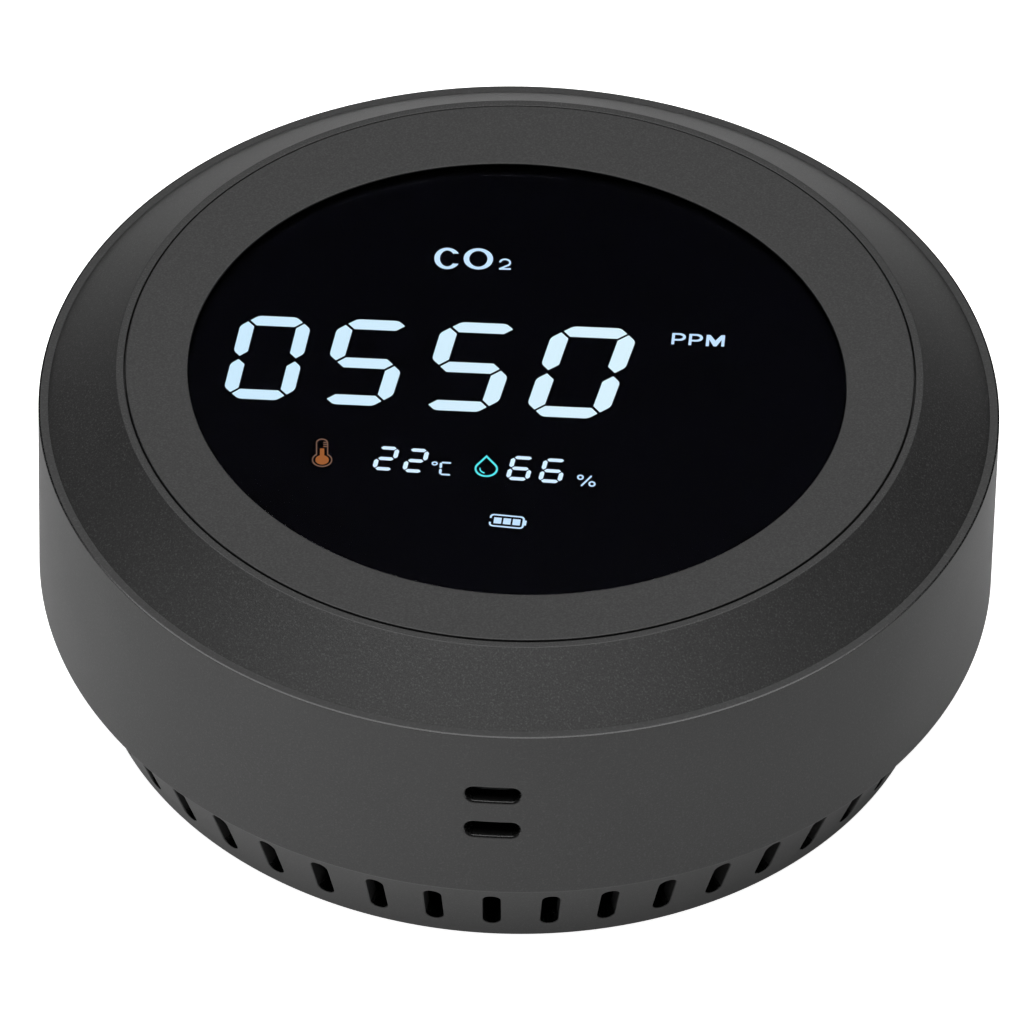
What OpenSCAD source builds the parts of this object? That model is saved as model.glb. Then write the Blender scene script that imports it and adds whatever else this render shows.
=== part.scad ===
// Round tabletop CO2 monitor: chamfered top ring, oval display window,
// undercut side housing with a ring of vents, and the works inside.
// +Z up, origin at the middle of the footprint on the table, front towards -Y.

/* [Body] */
// Outside diameter of the body
body_d = 105; // [104:0.5:106]
// Height of the body without its feet
body_h = 41.05; // [40.5:0.05:42]
// Height of the bottom edge above the table
foot_lift = 0.8; // [0.5:0.1:1]
// Thickness of the side wall
wall = 2; // [1.8:0.1:2.2]
// Height of the foot of the chamfer below the face
seam_drop = 5.35; // [5.2:0.05:5.5]
// Width of the seam round the foot of the chamfer
seam_gap = 0.05; // [0.05:0.05:0.1]
// Depth of the undercut above the vents, inwards
undercut_in = 1.5; // [1.3:0.1:1.7]
// Height of the undercut above the bottom edge
undercut_h = 12.3; // [12:0.1:12.5]
// Radius at the bottom edge of the vent band
band_foot_r = 46.3; // [46:0.1:46.6]

/* [Top ring] */
// Radius of the recess for the face plate
recess_r = 43.15; // [43.1:0.05:43.3]
// Width of the flat lip round the face plate
inner_lip = 0.85; // [0.7:0.05:1]
// Width of the flat rim of the housing, outside the seam
outer_lip = 1; // [0.9:0.05:1.1]
// Thickness of the chamfered skin, measured upright
skin = 2.2; // [2:0.1:2.4]

/* [Display] */
// Gap round the face plate
plate_gap = 0.15; // [0.1:0.05:0.2]
// Thickness of the face plate
plate_t = 1; // [0.8:0.1:1]
// Half the long axis of the oval window
window_a = 36; // [35.5:0.1:36.2]
// Half the short axis of the oval window
window_b = 34.5; // [34:0.1:35]
// Turn of the whole display about the upright axis
display_turn = 2; // [0:0.5:4]
// How far back the lit pattern sits so that it reads centred through the lens
pattern_back = 1; // [0:0.01:1.2]

/* [Vents] */
// Number of vent slots round the band
vent_count = 48; // [48:12:60]
// Width of a vent slot
vent_w = 1.95; // [1.8:0.05:2]
// Height of a vent slot
vent_h = 6.3; // [5.8:0.1:6.3]
// Width of a front air slot
front_slot_w = 6; // [5:0.1:7]
// Height of a front air slot
front_slot_h = 2; // [1.6:0.1:2.2]

/* [Power button] */
// Diameter of the button cap
button_d = 6; // [5.8:0.1:6.2]
// Direction of the button from the right-hand side, seen from above
button_angle = 68; // [66:1:70]

/* [Hidden] */
$fn = 96;
eps = 0.01;

// Levels, from the table up
face_z = foot_lift + body_h;
ring_top_z = face_z - 0.1;
seam_z = face_z - seam_drop;
rim_z = seam_z - 0.05;
shelf_z = seam_z - 1.1;
clip_z = seam_z - 2.4;
undercut_z = foot_lift + undercut_h;
plate_z = face_z - plate_t;
lens_top_z = face_z - 0.1;
flange_top_z = plate_z - 0.15;
flange_z = flange_top_z - 0.5;
panel_top_z = flange_z - 0.2;
panel_t = 1.8;
backlight_t = 2;
board_t = 1.6;
display_board_top = panel_top_z - panel_t - backlight_t;
tray_z = display_board_top - board_t;
tray_t = 1.6;
cover_z = foot_lift;
ledge_z = foot_lift + 1.4;
cover_top_z = foot_lift + 2.2;
board_z = 17;
board_top = board_z + board_t;

// Radii
body_r = body_d / 2;
inner_r = body_r - wall;
undercut_r = body_r - undercut_in;
band_slope = (undercut_r - band_foot_r) / undercut_h;
chamfer_top_r = recess_r + inner_lip;
rim_in_r = body_r - outer_lip;
chamfer_foot_r = rim_in_r - seam_gap;
chamfer_slope = (ring_top_z - seam_z) / (chamfer_foot_r - chamfer_top_r);
tray_r = recess_r - 1.95;
plate_r = recess_r - plate_gap;
tray_hole_r = 35;
spigot_r = inner_r - 0.3;
spigot_in_r = spigot_r - 1.8;
spigot_foot_z = seam_z - 3;
ledge_r = 42.8;
cover_r = band_foot_r - wall - 0.2;
panel_r = 36.8;
main_board_r = 47.5;

// Screw columns stand between two vents
column_r = 40.4;
column_d = 6.4;
column_angles = [41.25, 138.75, 221.25, 318.75];
display_screw_r = 38.8;
display_screw_angles = [0, 90, 180, 270];
foot_r = 34;
foot_d = 10;
foot_angles = [0, 90, 180, 270];

// Front air slots, rear socket and button
front_slot_z = [foot_lift + 27, foot_lift + 21.85];
usb_w = 8.94;
usb_h = 3.26;
usb_z = board_top + usb_h / 2;
usb_mouth_y = 50.3;
usb_depth = 7.3;
button_z = board_top + 3.2;
button_clear = 0.075;
button_flange_r = 50;
button_pin_r = 47.6;
button_travel = 0.5;
switch_face_r = 45.6;
plunger_d = 3.4;

// Lit pattern: digits lean, fan out and grow a little from left to right
lit_t = 0.06;
digit_left = [-32.4, -22.13, -11.15, 0.48];
digit_foot = [-5.74, -6.28, -6.85, -7.48];
digit_w = [7.67, 8, 8.52, 8.98];
digit_h = [13.35, 13.7, 14.2, 14.56];
digit_bar = [[1.53, 1.5], [1.64, 1.54], [1.76, 1.58], [1.87, 1.63]];
digit_lean = [8.2, 9.4, 10.6, 12.4];
digit_fan = [0, 1.6, 1.6, 1.3];
digit_drop = 1.8;
digit_gap = 0.24;

// Segments of a digit: top, upper right, lower right, bottom, lower left,
// upper left, middle
zero = [1, 1, 1, 1, 1, 1, 0];
five = [1, 0, 1, 1, 0, 1, 1];
two = [1, 1, 0, 1, 1, 0, 1];
six = [1, 0, 1, 1, 1, 1, 1];
letter_c = [1, 0, 0, 1, 1, 1, 0];

function arc(x, y, r, from, to, n = 6) =
    [for (i = [0 : n]) let (a = from + (to - from) * i / n) [x + r * cos(a), y + r * sin(a)]];
function oval(a, b, n = 180) =
    [for (i = [0 : n - 1]) [a * cos(360 * i / n), b * sin(360 * i / n)]];
function band_r(z) = band_foot_r + band_slope * (z - foot_lift);
function leaned(points, w, lean, drop, fan) =
    [for (p = points) [p[0] + p[1] * tan(lean + fan * p[0] / w), p[1] - p[0] * tan(drop)]];

// ---- shared shapes ----

// Corner of an outline, rounded off from a distance before it to the same distance after it
function soft_corner(before, corner, after, reach) =
    let (p = corner + reach * (before - corner) / norm(before - corner),
        q = corner + reach * (after - corner) / norm(after - corner))
    [p, (4 * p + 4 * corner + q) / 9, (p + 4 * corner + 4 * q) / 9, q];

// Flat bar pointed at 45 degrees, from one tip to the other, soft along its left side
function bar_points(p, q, t, soft) =
    let (d = q - p, u = d / norm(d), v = [-u[1], u[0]], h = t / 2,
        a = p + h * (u + v), b = q + h * (v - u))
    concat([p], soft > 0 ? soft_corner(p, a, b, soft) : [a],
        soft > 0 ? soft_corner(a, b, q, soft) : [b], [q, q - h * (u + v), p + h * (u - v)]);

// Seven-segment figure; t holds the width of its upright bars and the height of its level bars
module digit(segments, w, h, t, gap, lean = 0, drop = 0, fan = 0, soft = 0) {
    l = t[0] / 2;
    r = w - t[0] / 2;
    b = t[1] / 2;
    m = h * 0.49;
    u = h - t[1] / 2;
    bars = [[[l + gap, u], [r - gap, u]], [[r, u - gap], [r, m + 1.25 * gap]],
        [[r, m - 1.25 * gap], [r, b + gap]], [[r - gap, b], [l + gap, b]],
        [[l, b + gap], [l, m - 1.25 * gap]], [[l, m + 1.25 * gap], [l, u - gap]],
        [[l + gap, m], [r - gap, m]]];
    level = [1, 0, 0, 1, 0, 0, 1];
    for (i = [0 : 6])
        if (segments[i] == 1)
            polygon(leaned(bar_points(bars[i][0], bars[i][1], t[level[i]], i < 6 ? soft : 0),
                w, lean, drop, fan));
}

// Round-ended line through a list of points
module stroke(points, t) {
    for (p = points) translate(p) circle(d = t, $fn = 24);
    for (i = [0 : len(points) - 2]) {
        d = points[i + 1] - points[i];
        translate(points[i]) rotate(atan2(d[1], d[0]))
            translate([0, -t / 2]) square([norm(d), t]);
    }
}

module rounded_rect(w, h, r) {
    square([w - 2 * r, h], center = true);
    square([w, h - 2 * r], center = true);
    for (x = [-1, 1], y = [-1, 1])
        translate([x * (w / 2 - r), y * (h / 2 - r)]) circle(r, $fn = 24);
}

module stadium(w, h) {
    square([w - h, h], center = true);
    for (x = [-1, 1]) translate([x * (w - h) / 2, 0]) circle(d = h, $fn = 32);
}

// Prism that points straight out from the middle at an angle, drawn as seen from outside
module outward(angle, from_r, to_r, z) {
    rotate(angle) translate([from_r, 0, z]) rotate([90, 0, 90])
        linear_extrude(to_r - from_r) children();
}

module at_angles(angles, r) {
    for (a = angles) rotate(a) translate([r, 0, 0]) children();
}

module ring(outer_r, inner_r, z, h) {
    translate([0, 0, z]) difference() {
        cylinder(r = outer_r, h = h);
        translate([0, 0, -1]) cylinder(r = inner_r, h = h + 2);
    }
}

module box_at(x, y, z, w, d, h) {
    translate([x - w / 2, y - d / 2, z]) cube([w, d, h]);
}

// Pan-head screw standing with its tip down at the local origin
module screw(shank_d, length, head_d, head_h) {
    cross_w = head_d * 0.16;
    cross_l = head_d * 0.56;
    difference() {
        union() {
            cylinder(d1 = shank_d * 0.4, d2 = shank_d, h = shank_d * 0.6);
            translate([0, 0, shank_d * 0.6]) cylinder(d = shank_d, h = length - shank_d * 0.6);
            translate([0, 0, length]) cylinder(d = head_d, h = head_h * 0.6);
            translate([0, 0, length + head_h * 0.6])
                cylinder(d1 = head_d, d2 = head_d * 0.7, h = head_h * 0.4);
        }
        for (a = [0, 90]) rotate(a)
            box_at(0, 0, length + head_h * 0.3, cross_l, cross_w, head_h);
    }
}

module window_place() {
    rotate(display_turn) translate([-0.3, -1.28]) rotate(-16.5) children();
}

module lit(x = 0, y = 0) {
    translate([0, pattern_back, panel_top_z]) rotate(display_turn)
        translate([x, y, 0]) linear_extrude(lit_t) children();
}

// ---- case ----

module top_ring() {
    skin_foot = ring_top_z - skin;
    profile = [[chamfer_foot_r, shelf_z], [chamfer_foot_r, seam_z],
        [chamfer_top_r, ring_top_z], [recess_r, ring_top_z],
        [recess_r, plate_z], [tray_r, plate_z], [tray_r, tray_z],
        [tray_hole_r, tray_z], [tray_hole_r, tray_z - tray_t],
        [recess_r, tray_z - tray_t], [recess_r, skin_foot], [chamfer_top_r, skin_foot],
        [spigot_in_r, skin_foot - (spigot_in_r - chamfer_top_r) * chamfer_slope],
        [spigot_in_r, spigot_foot_z], [spigot_r, spigot_foot_z], [spigot_r, shelf_z]];
    color("dimgray") difference() {
        union() {
            rotate_extrude($fn = 180) polygon(profile);
            at_angles(display_screw_angles, display_screw_r)
                translate([0, 0, tray_z - tray_t - 3.5]) cylinder(d = 4.4, h = 3.6);
            for (a = [30 : 60 : 330])
                outward(a, spigot_r - 0.6, inner_r + 0.25, clip_z)
                    square([7, 1], center = true);
        }
        at_angles(display_screw_angles, display_screw_r)
            translate([0, 0, tray_z - tray_t - 3]) cylinder(d = 1.7, h = 6);
    }
}

module side_housing() {
    edge = 0.3;
    corner = 0.4;
    web_z = undercut_z + wall;
    profile = concat(
        [[cover_r + 0.2, cover_z], [band_foot_r, cover_z], [undercut_r, undercut_z]],
        arc(body_r - corner, undercut_z + corner, corner, -90, 0, 8),
        arc(body_r - edge, rim_z - edge, edge, 0, 90),
        [[rim_in_r, rim_z], [rim_in_r, shelf_z], [inner_r, shelf_z],
        [inner_r, web_z], [undercut_r - wall, web_z], [undercut_r - wall, undercut_z],
        [band_r(ledge_z + 1) - wall, ledge_z + 1], [ledge_r, ledge_z + 1],
        [ledge_r, ledge_z], [cover_r + 0.2, ledge_z]]);
    color("dimgray") difference() {
        union() {
            rotate_extrude($fn = 180) polygon(profile);
            at_angles(column_angles, column_r)
                translate([0, 0, cover_top_z]) cylinder(d = column_d, h = board_z - cover_top_z);
            for (a = column_angles) column_rib(a);
        }
        for (i = [0 : vent_count - 1])
            outward(-90 + i * 360 / vent_count, ledge_r, body_r, foot_lift + 2.75 + vent_h / 2)
                rounded_rect(vent_w, vent_h, vent_w / 2 - 0.08);
        for (z = front_slot_z)
            outward(-90, inner_r - 1, body_r + 1, z) stadium(front_slot_w, front_slot_h);
        outward(90, inner_r - 1, body_r + 1, usb_z) stadium(usb_w + 0.5, usb_h + 0.5);
        outward(90, body_r - 1.1, body_r + 1, usb_z) stadium(usb_w + 3.6, usb_h + 3.6);
        outward(button_angle, inner_r - 1, body_r + 1, button_z)
            circle(d = button_d + 2 * button_clear);
        outward(button_angle, body_r - 0.35, body_r + 1, button_z) circle(d = button_d + 3);
        for (a = [30 : 60 : 330])
            outward(a, inner_r - 0.5, inner_r + 0.55, clip_z)
                square([7.6, 1.3], center = true);
        at_angles(column_angles, column_r) {
            translate([0, 0, cover_top_z - 1]) cylinder(d = 2.2, h = 8);
            translate([0, 0, board_z - 5]) cylinder(d = 1.9, h = 6);
        }
    }
}

module column_rib(angle) {
    rib_t = 1.6;
    z0 = cover_top_z;
    rotate(angle) rotate([90, 0, 0]) translate([0, 0, -rib_t / 2]) linear_extrude(rib_t)
        polygon([[column_r + 2.6, z0], [band_r(z0) - 0.8, z0],
            [inner_r - 1.3, undercut_z], [inner_r - 1.3, board_z],
            [column_r + 2.6, board_z]]);
}

module bottom_cover() {
    color("dimgray") difference() {
        union() {
            translate([0, 0, cover_z]) cylinder(r = cover_r, h = ledge_z - cover_z);
            translate([0, 0, ledge_z - eps])
                cylinder(r = ledge_r - 0.4, h = cover_top_z - ledge_z + eps);
        }
        at_angles(column_angles, column_r) {
            translate([0, 0, cover_z - 1]) cylinder(d = 2.8, h = 5);
            translate([0, 0, cover_z - 1]) cylinder(d = 5.2, h = 2.2);
        }
        at_angles(foot_angles, foot_r)
            translate([0, 0, cover_z - 1]) cylinder(d = foot_d + 0.4, h = 2);
        translate([0, 0, cover_z - 1]) linear_extrude(1.3) rounded_rect(42, 24, 2);
        translate([-26, 16, cover_z - 1]) {
            cylinder(d = 1.5, h = 5);
            at_angles([0 : 60 : 300], 3.2) cylinder(d = 1.5, h = 5);
        }
    }
}

module rubber_feet() {
    round_r = 0.6;
    profile = concat([[0, 0]], arc(foot_d / 2 - round_r, round_r, round_r, -90, 0),
        [[foot_d / 2, foot_lift + 1], [0, foot_lift + 1]]);
    color("black") at_angles(foot_angles, foot_r) rotate_extrude($fn = 64) polygon(profile);
}

module cover_screws() {
    head_h = 1.1;
    length = 8;
    color("silver") at_angles(column_angles, column_r)
        translate([0, 0, cover_z + 1.2 + length]) rotate([180, 0, 0])
            screw(2.1, length, 4.8, head_h);
}

// ---- display ----

module face_plate() {
    color("dimgray") difference() {
        translate([0, 0, plate_z]) cylinder(r = plate_r, h = plate_t, $fn = 180);
        translate([0, 0, plate_z - 1]) linear_extrude(plate_t + 2)
            window_place() polygon(oval(window_a, window_b));
    }
}

module display_window() {
    slack = 0.05;
    color("black") {
        translate([0, 0, flange_top_z - eps]) linear_extrude(lens_top_z - flange_top_z + eps)
            window_place() polygon(oval(window_a - slack, window_b - slack));
        translate([0, 0, flange_z]) cylinder(r = tray_r - 0.4, h = flange_top_z - flange_z);
    }
}

module window_adhesive() {
    inset = 0.8;
    color("white") difference() {
        translate([0, 0, flange_top_z])
            cylinder(r = tray_r - 0.6, h = plate_z - flange_top_z);
        translate([0, 0, flange_top_z - 1]) linear_extrude(3)
            window_place() polygon(oval(window_a + inset, window_b + inset));
    }
}

module panel_frame() {
    color("black") difference() {
        ring(tray_r - 0.6, panel_r + 0.1, display_board_top, flange_z - display_board_top - 0.05);
        at_angles(display_screw_angles, display_screw_r)
            translate([0, 0, display_board_top - 1]) cylinder(d = 4.4, h = 2.6);
    }
}

module display_panel() {
    color("black")
        translate([0, 0, panel_top_z - panel_t]) cylinder(r = panel_r, h = panel_t);
}

module main_digits() {
    shapes = [zero, five, five, zero];
    color("lightcyan")
        for (i = [0 : 3])
            lit(digit_left[i], digit_foot[i])
                digit(shapes[i], digit_w[i], digit_h[i], digit_bar[i], digit_gap,
                    digit_lean[i], digit_drop, digit_fan[i], 0.4);
}

module small_digits() {
    bar = [0.47, 0.45];
    gap = 0.13;
    color("lightcyan") {
        lit(-15.81, -16.65) digit(two, 2.37, 3.75, bar, gap, 9.5, 3.4);
        lit(-12.57, -16.88) digit(two, 2.37, 3.75, bar, gap, 9.5, 3.4);
        lit(-1.35, -17.74) digit(six, 2.53, 3.78, bar, gap, 10.5, 3.4);
        lit(2.15, -18) digit(six, 2.53, 3.78, bar, gap, 10.5, 3.4);
    }
}

module unit_labels() {
    color("lightcyan") {
        lit(-8.3, 17.64) rounded_c(2.84, 3.44, 0.61, 0.38);
        lit(-4.88, 17.69) oval_ring(3.23, 3.41, 0.61, 0.38);
        lit(-2.59, 16.05) figure_two(1.32, 1.78, 0.2);
        lit(16.44, 4.56) letter_p(1.6, 1.76);
        lit(18.31, 4.48) letter_p(1.6, 1.76);
        lit(20.21, 4.38) letter_m(2.02, 1.76);
        lit(-9.02, -15.46) oval_ring(0.67, 0.58, 0.16, 0.13);
        lit(-8.55, -17.25) digit(letter_c, 1.43, 2.08, [0.28, 0.2], 0.05, 2.5, 3.4);
        lit(6.79, -17.12) oval_ring(0.74, 0.77, 0.19, 0.15);
        lit(8.05, -18.14) oval_ring(0.78, 0.82, 0.19, 0.15);
        lit() stroke([[6.93, -18.42], [7.94, -16.94]], 0.18);
    }
}

module oval_ring(w, h, side_t, top_t) {
    difference() {
        polygon(oval(w / 2, h / 2, 48));
        polygon(oval(w / 2 - side_t, h / 2 - top_t, 48));
    }
}

module rounded_c(w, h, side_t, top_t) {
    reach = w;
    difference() {
        oval_ring(w, h, side_t, top_t);
        polygon([[0.28 * w, 0], [reach, 0.44 * h], [reach, -0.44 * h]]);
        translate([0.39 * w, 0]) square([0.3 * w, 0.5 * h], center = true);
    }
}

module figure_two(w, h, t) {
    bowl = w / 2 - t / 2;
    bowl_y = h - bowl - t / 2;
    stroke(concat([for (i = [0 : 7]) let (a = 165 - i * 29)
        [w / 2 + bowl * cos(a), bowl_y + bowl * sin(a)]],
        [[t / 2, t / 2], [w - t / 2, t / 2]]), t);
}

module letter_p(w, h) {
    side_t = 0.31;
    top_t = 0.22;
    lean = 0.12;
    bowl_h = h * 0.66;
    polygon([[0, 0], [side_t, 0], [side_t + lean, h], [lean, h]]);
    translate([lean, h - bowl_h]) difference() {
        half_round(w - lean, bowl_h);
        translate([0, top_t]) half_round(w - lean - side_t, bowl_h - 2 * top_t);
    }
}

// Rectangle whose right-hand end is half an oval
module half_round(w, h) {
    bulge = w * 0.45;
    polygon(concat([[0, 0]], [for (i = [0 : 12]) let (a = -90 + 15 * i)
        [w - bulge + bulge * cos(a), h / 2 * (1 + sin(a))]], [[0, h]]));
}

module letter_m(w, h) {
    stem = 0.33;
    peak = 0.42;
    valley = 0.16;
    half = [[0, 0], [0, h], [peak, h], [w / 2, 0.48 * h]];
    foot = [[w - stem, 0], [w - stem, 0.6 * h], [w / 2 + valley, 0]];
    outline = concat(half, [[w - peak, h], [w, h], [w, 0]], foot,
        [[w / 2 - valley, 0], [stem, 0.6 * h], [stem, 0]]);
    polygon(leaned(outline, w, 3.5, 0, 0));
}

module thermometer_outline(grow) {
    circle(0.98 + grow, $fn = 48);
    translate([-0.54 - grow, 0]) square([1.08 + 2 * grow, 2.7]);
    translate([0, 2.7]) circle(0.54 + grow, $fn = 32);
}

module thermometer_icon() {
    color("chocolate") lit(-21.22, -15.31) rotate(1.5) {
        difference() {
            thermometer_outline(0.12);
            thermometer_outline(0);
        }
        circle(0.72, $fn = 48);
        translate([-0.23, 0]) square([0.46, 1.78]);
        for (i = [0 : 2]) translate([0.14, 2.08 + i * 0.33]) square([0.45, 0.1]);
    }
}

module drop_outline(r) {
    tip = 1.71 * r;
    side = acos(r / tip);
    polygon(concat(arc(0, 0, r, 90 + side, 450 - side, 40), [[0, tip]]));
}

module drop_icon() {
    color("turquoise") lit(-3.42, -16.13) {
        difference() {
            drop_outline(1.26);
            drop_outline(1.06);
        }
        stroke(arc(0, 0, 0.68, 175, 250), 0.13);
    }
}

module battery_icon() {
    w = 3.78;
    h = 1.92;
    side_t = 0.2;
    top_t = 0.15;
    tilt = -5.8;
    color("lightsteelblue") lit(-1.06, -24.36) rotate(tilt) {
        difference() {
            rounded_rect(w, h, 0.45);
            rounded_rect(w - 2 * side_t, h - 2 * top_t, 0.3);
            translate([-w / 2, 0]) square([2 * side_t + 0.2, 0.68], center = true);
        }
        translate([w / 2 - eps, -0.365]) square([0.24, 0.73]);
        for (i = [-1 : 1]) translate([i * 1.02 + 0.02, 0]) square([0.81, 0.88], center = true);
    }
}

module backlight() {
    color("white")
        translate([0, 0, display_board_top]) cylinder(r = panel_r, h = backlight_t);
}

module display_board() {
    color("darkgreen") difference() {
        translate([0, 0, tray_z]) cylinder(r = tray_r - 0.4, h = board_t);
        at_angles(display_screw_angles, display_screw_r)
            translate([0, 0, tray_z - 1]) cylinder(d = 1.9, h = 5);
    }
}

module display_screws() {
    length = 5.6;
    color("silver") at_angles(display_screw_angles, display_screw_r)
        translate([0, 0, display_board_top - length]) screw(1.6, length, 3.2, 1.2);
}

module driver_chip() {
    color("black") box_at(-12, 6, tray_z - 1.2, 10, 10, 1.2);
}

module display_socket() {
    color("ivory") box_at(0, 18, tray_z - 2, 18, 5, 2);
}

// Flat cable: one smooth bend from the lower socket to the upper one
module display_cable() {
    steps = 24;
    thick = 0.3;
    z0 = board_top + 2;
    z1 = tray_z - 2;
    y0 = 12;
    y1 = 18;
    path = [for (i = [0 : steps]) let (s = i / steps)
        [y0 + (y1 - y0) * s + 4 * sin(360 * s), z0 + (z1 - z0) * s]];
    color("white") rotate([90, 0, 90]) translate([0, 0, -7]) linear_extrude(14)
        polygon(concat([for (p = path) p + [thick / 2, 0]],
            [for (i = [steps : -1 : 0]) path[i] - [thick / 2, 0]]));
}

// ---- electronics ----

module main_board() {
    color("darkgreen") difference() {
        translate([0, 0, board_z]) cylinder(r = main_board_r, h = board_t);
        at_angles(column_angles, column_r)
            translate([0, 0, board_z - 1]) cylinder(d = 2.1, h = 4);
    }
}

module board_screws() {
    length = 5.8;
    color("silver") at_angles(column_angles, column_r)
        translate([0, 0, board_top - length]) screw(1.8, length, 3.6, 1.3);
}

module main_socket() {
    color("ivory") box_at(0, 12, board_top, 18, 5, 2);
}

module co2_sensor() {
    color("goldenrod") translate([0, -24, board_top + 2]) linear_extrude(8)
        rounded_rect(32, 19, 1.5);
}

module sensor_membrane() {
    color("white") translate([0, -24, board_top + 10]) linear_extrude(0.4)
        rounded_rect(22, 11, 1);
}

module sensor_pins() {
    pitch = 2.54;
    color("gold") for (side = [-1, 1], i = [0 : 3])
        translate([side * 13.5, -24 + (i - 1.5) * pitch, board_top]) cylinder(d = 0.7, h = 2);
}

module climate_board() {
    color("darkgreen") box_at(0, -46, board_top, 12, 1, 12);
}

module climate_chip() {
    color("black") box_at(0, -47, board_top + 5, 3, 1, 3);
}

module buzzer() {
    color("black") translate([-26, 16, board_z - 6.5]) difference() {
        cylinder(d = 12, h = 6.5);
        translate([0, 0, -1]) cylinder(d = 2, h = 2);
    }
}

module microcontroller() {
    color("black") box_at(18, 6, board_top, 9, 9, 1.2);
}

module charger_chip() {
    color("black") box_at(-12, 32, board_top, 5, 4, 1.4);
}

module battery_pad() {
    color("gray") box_at(0, 0, cover_top_z, 40, 28, 0.5);
}

module battery_cell() {
    color("silver") translate([0, 0, cover_top_z + 0.5]) linear_extrude(6)
        rounded_rect(46, 34, 2.5);
}

module battery_lead(x) {
    bend = 3;
    lead_d = 1.2;
    z0 = cover_top_z + 3.5;
    y0 = 17;
    top = board_z - 3.5;
    translate([x, y0, z0]) rotate([-90, 0, 0]) cylinder(d = lead_d, h = 4);
    translate([x, y0 + 4, z0 + bend]) rotate([0, -90, 0]) rotate([0, 0, 90])
        rotate_extrude(angle = 90, $fn = 48) translate([bend, 0]) circle(d = lead_d, $fn = 24);
    translate([x, y0 + 4 + bend, z0 + bend]) cylinder(d = lead_d, h = top - z0 - bend);
}

module battery_lead_red() {
    color("red") battery_lead(7);
}

module battery_lead_black() {
    color("black") battery_lead(9.5);
}

module battery_connector() {
    color("ivory") box_at(8.25, 24, board_z - 3.5, 8, 5, 3.5);
}

module usb_socket() {
    sheet = 0.3;
    color("silver") difference() {
        outward(90, usb_mouth_y - usb_depth, usb_mouth_y, usb_z) stadium(usb_w, usb_h);
        outward(90, usb_mouth_y - usb_depth + 1, usb_mouth_y + 1, usb_z)
            stadium(usb_w - 2 * sheet, usb_h - 2 * sheet);
    }
}

module usb_tongue() {
    color("black") outward(90, usb_mouth_y - usb_depth + 1, usb_mouth_y - 1.2, usb_z)
        square([6.7, 0.7], center = true);
}

module switch_body() {
    depth = 4;
    size = 6.4;
    color("black") difference() {
        outward(button_angle, switch_face_r - depth, switch_face_r, button_z)
            square([size, size], center = true);
        outward(button_angle, switch_face_r - 2.1, switch_face_r + 1, button_z)
            circle(d = plunger_d + 0.1);
    }
}

module switch_plunger() {
    color("white") outward(button_angle, switch_face_r - 2.1 + button_travel + 0.2,
        button_pin_r - 0.05, button_z) circle(d = plunger_d);
}

module power_button() {
    color("black") {
        outward(button_angle, button_flange_r - eps, body_r - 0.3, button_z)
            circle(d = button_d);
        outward(button_angle, button_flange_r - 0.8, button_flange_r, button_z)
            circle(d = button_d + 2);
        outward(button_angle, button_pin_r, button_flange_r - 0.8 + eps, button_z)
            circle(d = 2.2);
    }
}

top_ring();
face_plate();
display_window();
window_adhesive();
panel_frame();
display_panel();
main_digits();
small_digits();
unit_labels();
thermometer_icon();
drop_icon();
battery_icon();
backlight();
display_board();
display_screws();
driver_chip();
display_socket();
display_cable();
side_housing();
bottom_cover();
rubber_feet();
cover_screws();
main_board();
board_screws();
co2_sensor();
sensor_membrane();
sensor_pins();
climate_board();
climate_chip();
battery_pad();
battery_cell();
battery_lead_red();
battery_lead_black();
battery_connector();
usb_socket();
usb_tongue();
switch_body();
switch_plunger();
power_button();
buzzer();
microcontroller();
charger_chip();
main_socket();
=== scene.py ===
"""Looks of the round CO2 monitor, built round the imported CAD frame.

Meshes are made in millimetres and become metres in Mesh.piece(). The finishes, camera, floor
and light are in metres and degrees.
"""
import math

import bmesh
import bpy
from mathutils import Matrix, Vector
from mathutils.geometry import delaunay_2d_cdt


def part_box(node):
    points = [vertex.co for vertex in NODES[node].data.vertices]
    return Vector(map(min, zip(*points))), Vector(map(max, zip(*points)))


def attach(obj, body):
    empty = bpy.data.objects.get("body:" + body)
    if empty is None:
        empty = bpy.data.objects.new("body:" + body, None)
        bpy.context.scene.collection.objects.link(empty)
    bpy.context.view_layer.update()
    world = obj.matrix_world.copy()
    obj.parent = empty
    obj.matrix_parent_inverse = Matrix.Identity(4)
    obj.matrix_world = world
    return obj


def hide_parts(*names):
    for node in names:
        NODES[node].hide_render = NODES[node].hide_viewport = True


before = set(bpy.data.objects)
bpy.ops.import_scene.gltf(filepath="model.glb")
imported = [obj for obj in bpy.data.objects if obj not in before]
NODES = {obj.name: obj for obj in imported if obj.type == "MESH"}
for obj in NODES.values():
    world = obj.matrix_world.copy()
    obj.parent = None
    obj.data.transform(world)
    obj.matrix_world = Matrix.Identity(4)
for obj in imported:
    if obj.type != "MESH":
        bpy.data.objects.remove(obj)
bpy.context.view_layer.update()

MM = 0.001


def low(node, axis):
    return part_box(node)[0][axis] / MM


def high(node, axis):
    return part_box(node)[1][axis] / MM


# ---------------------------------------------------------------- sizes, mm

# Read from the frame.
BODY_R = high("side_housing", 0)
BASE_Z = low("side_housing", 2)
FACE_Z = high("face_plate", 2)
RING_TOP = high("top_ring", 2)
RING_FOOT_R = high("top_ring", 0)
RIM_Z = high("side_housing", 2)
PLATE_R = high("face_plate", 0)
PLATE_Z = low("face_plate", 2)
LENS_TOP = high("display_window", 2)
LENS_FOOT = low("display_window", 2)
FLANGE_R = high("display_window", 0)
TRAY_Z = low("display_board", 2)

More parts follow.
